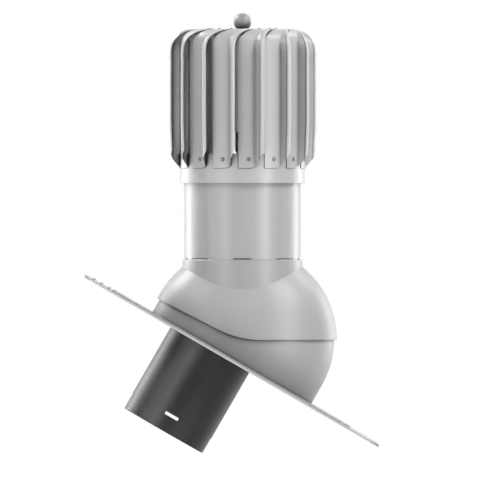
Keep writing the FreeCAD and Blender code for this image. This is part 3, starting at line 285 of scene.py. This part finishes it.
def sheet_finish():
    """Coated sheet metal: a cloudy satin coat with orange peel, with painted shade in the folds and a painted
    highlight on the lips.
    """
    look = Finish("coated_sheet")
    cloud = look.noise(16.0, 3.0, 0.6)
    peel = look.noise(650.0, 2.0, 0.5)
    scuff = look.ramp(look.noise(120.0, 4.0, 0.7, look.moved(stretch=(1.0, 1.0, 4.0))), 0.64, 0.74)
    reach = sheet_length(look)
    crease_shade = look.ramp(reach, *CREASE_SHADE_START) - look.ramp(reach, *CREASE_SHADE_END)
    lip_highlight = look.ramp(reach, *LIP_HIGHLIGHT_START)
    tone = look.between(cloud, (0.62, 0.62, 0.615), (0.70, 0.70, 0.695))
    tone = look.between(scuff * 0.3, tone, (0.76, 0.76, 0.75))
    # Painted shade: a dark line along the crease between the flange and the lip
    tone = look.between(0.7 * crease_shade, tone, 0.10)
    # Painted highlight: the lips paler
    tone = look.between(lip_highlight, tone, (0.74, 0.74, 0.735))
    # Painted shade: darker in the gaps between the blades, with thin dark outlines round their feet
    tone = look.shaded(tone, 0.06, 0.10, 0.95, 0.01)
    tone = look.shaded(tone, 0.005, 0.50, 0.95, 0.04)
    return look.coat(Base_Color=tone, Roughness=0.31 + 0.10 * cloud,
                     Normal=look.bump(peel, 0.00002, 0.6), Specular_IOR_Level=1.0)


def ball_finish():
    """Coated ball: the sheet's coat, a little darker, with orange peel."""
    look = Finish("coated_ball")
    cloud = look.noise(60.0, 3.0, 0.6)
    peel = look.noise(500.0, 2.0, 0.5)
    tone = look.between(cloud, (0.42, 0.42, 0.42), (0.52, 0.52, 0.515))
    # Painted shade: the ball darker where the rotor's top stands close under it
    tone = look.shaded(tone, 0.04, 0.15, 0.95, 0.02)
    return look.coat(Base_Color=tone, Roughness=0.34 + 0.1 * cloud,
                     Normal=look.bump(peel, 0.00008, 0.6), Specular_IOR_Level=1.0)


def rivet_finish():
    """Bare aluminium rivets: brushed, duller in patches."""
    look = Finish("rivets")
    dull = look.noise(300.0, 4.0, 0.6)
    brushed = look.drawn((0.0004, 0.0004, 0.003))
    tone = look.between(dull, 0.26, 0.42)
    return look.coat(Base_Color=tone, Metallic=0.9, Roughness=0.25 + 0.2 * dull,
                     Normal=look.bump(brushed, 0.00004, 0.7))


def turned_finish():
    """Turned aluminium: fine tool lines round the rotor's axis."""
    look = Finish("turned_aluminium")
    lines = look.drawn((0.02, 0.02, 0.0008))
    dull = look.noise(80.0, 3.0, 0.6)
    tone = look.between(dull, (0.52, 0.52, 0.53), (0.68, 0.68, 0.69))
    return look.coat(Base_Color=tone, Metallic=1.0, Roughness=0.28 + 0.15 * dull,
                     Normal=look.bump(lines, 0.00005, 0.7))


def zinc_finish():
    """Zinc plated steel: spangled tone with a faint yellow passivation."""
    look = Finish("zinc_steel")
    spangle = look.node("TexVoronoi", inputs={"Vector": look.place(), "Scale": 260.0})
    cloud = look.noise(40.0, 3.0, 0.6)
    tone = look.between(cloud, (0.42, 0.43, 0.46), (0.62, 0.60, 0.52))
    tone = look.between(spangle * 0.4, tone, (0.70, 0.70, 0.72))
    return look.coat(Base_Color=tone, Metallic=1.0, Roughness=0.32 + 0.2 * cloud,
                     Normal=look.bump(spangle, 0.00005, 0.4))


def bearing_finish():
    """Ground and polished bearing steel."""
    look = Finish("bearing_steel")
    ground = look.drawn((0.01, 0.01, 0.0004))
    smear = look.noise(150.0, 3.0, 0.6)
    tone = look.between(smear, (0.60, 0.60, 0.61), (0.74, 0.74, 0.75))
    return look.coat(Base_Color=tone, Metallic=1.0, Roughness=0.12 + 0.12 * smear,
                     Normal=look.bump(ground, 0.00002, 0.5))


def brass_finish():
    """Pressed brass of the cages, tarnished in patches."""
    look = Finish("cage_brass")
    tarnish = look.noise(180.0, 4.0, 0.6)
    tone = look.between(tarnish, (0.62, 0.42, 0.14), (0.80, 0.62, 0.30))
    return look.coat(Base_Color=tone, Metallic=1.0, Roughness=0.24 + 0.2 * tarnish,
                     Normal=look.bump(tarnish, 0.00004, 0.5))


FINISHES = {
    "grey_moulding": moulding_finish(),
    "grey_pipe": pipe_finish(),
    "black_tube": tube_finish(),
    "dark_plastic": dark_finish(),
    "foam": wool_finish(),
    "coated_sheet": sheet_finish(),
    "coated_ball": ball_finish(),
    "rivets": rivet_finish(),
    "turned_aluminium": turned_finish(),
    "zinc_steel": zinc_finish(),
    "bearing_steel": bearing_finish(),
    "cage_brass": brass_finish(),
}


def dress(node_name, finish):
    """Gives every material slot of a CAD node one finish."""
    mesh = nodes[node_name].data
    if not mesh.materials:
        mesh.materials.append(finish)
    for number in range(len(mesh.materials)):
        mesh.materials[number] = finish


for part in frame["record"]["subparts"]:
    dress(part["node"], FINISHES[part["material_slot"]])


# Studio: floor, world, lamps and camera

AIM = np.array([0.04, 0.0, 0.16])
LAMP_DISTANCE = 2.0
STRIP_SIZE = (0.5, 1.4)
STRIP_HEIGHT = 0.1
SQUARE_SIZE = (0.9, 0.9)
SQUARE_HEIGHT = 1.8

# Each lamp's name, its azimuth in degrees, 0 at the camera and positive to the right, and its watts

STRIPS = (("left", -35.0, 8.2), ("right", 45.0, 12.8), ("left_side", -60.0, 4.8), ("left_back", -115.0, 3.6),
          ("left_rim", -130.0, 13.6), ("right_rim", 130.0, 10.6))
SQUARES = (("left_high", -60.0, 9.4), ("right_high", 60.0, 26.5), ("left_back_high", -120.0, 31.9),
           ("right_back_high", 120.0, 12.6), ("front_high", 0.0, 5.2))


def floor():
    """A wide pale sheet under the cowl that keeps its shadow, white to the camera and clear from below.

    Behind the cowl it is white in mirrored light too.
    """
    half = 4.0
    level = -0.24
    mesh = bpy.data.meshes.new("studio_floor")
    mesh.from_pydata([(-half, -half, level), (half, -half, level), (half, half, level), (-half, half, level)],
                     [], [(0, 1, 2, 3)])
    sheet = bpy.data.objects.new("studio_floor", mesh)
    bpy.context.scene.collection.objects.link(sheet)
    look = Finish("floor_paper")
    paper = look.node("BsdfDiffuse", inputs={"Color": colour(0.5)})
    glow = look.node("Emission", inputs={"Color": colour(1.0), "Strength": 1.05})
    clear = look.node("BsdfTransparent")
    behind = look.ramp(look.along("Y"), -0.05, 0.35)
    white = look.ray("Camera").at_least(look.ray("Transmission")).at_least(look.ray("Glossy") * behind)
    below = look.node("NewGeometry", output="Backfacing")
    look.close(look.mixed(below, look.mixed(0.9 * white, paper, glow), clear))
    mesh.materials.append(look.material)


def world():
    """Faint light from all round, but white where it is seen, and behind the cowl in mirrored light."""
    made = bpy.data.worlds.new("studio_world")
    bpy.context.scene.world = made
    made.use_nodes = True
    look = Look(made.node_tree, "ShaderNodeOutputWorld")
    direction = look.node("TexCoord", output="Generated")
    behind = look.ramp(look.node("SeparateXYZ", inputs={0: direction}, output="Y"), 0.2, 0.7)
    white = look.ray("Camera").at_least(look.ray("Transmission")).at_least(look.ray("Glossy") * behind)
    faint, bright = [look.node("Background", inputs={"Color": colour(1.0), "Strength": strength})
                     for strength in (0.01, 1.0)]
    look.close(look.mixed(white, faint, bright))


def softbox(name, azimuth, height, size, power):
    """A lamp at an azimuth and a height above the aim, turned to the cowl."""
    lamp = bpy.data.lights.new(name, "AREA")
    lamp.shape = "RECTANGLE"
    lamp.size, lamp.size_y = size
    lamp.energy = power
    box = bpy.data.objects.new(name, lamp)
    bpy.context.scene.collection.objects.link(box)
    turn = math.radians(azimuth)
    back = np.array([LAMP_DISTANCE * math.sin(turn), -LAMP_DISTANCE * math.cos(turn), height])
    box.location = AIM + back
    box.rotation_euler = (math.atan2(LAMP_DISTANCE, height), 0.0, math.atan2(back[0], -back[1]))


def camera():
    """Level view from the front with a long lens, so wide that the cowl's middle shows frame_width."""
    frame_width = 0.6593
    middle = (0.0408, 0.1501)
    lens = bpy.data.cameras.new("camera")
    lens.lens = 1500.0
    lens.sensor_width = 36.0
    lens.clip_end = 100.0
    view = bpy.data.objects.new("camera", lens)
    bpy.context.scene.collection.objects.link(view)
    view.location = (middle[0], -frame_width * lens.lens / lens.sensor_width, middle[1])
    view.rotation_euler = (math.pi / 2, 0.0, 0.0)
    bpy.context.scene.camera = view


floor()
world()
for name, azimuth, power in STRIPS:
    softbox("softbox_" + name, azimuth, STRIP_HEIGHT, STRIP_SIZE, power)
for name, azimuth, power in SQUARES:
    softbox("softbox_" + name, azimuth, SQUARE_HEIGHT, SQUARE_SIZE, power)
camera()
bpy.context.scene.view_settings.view_transform = "Standard"
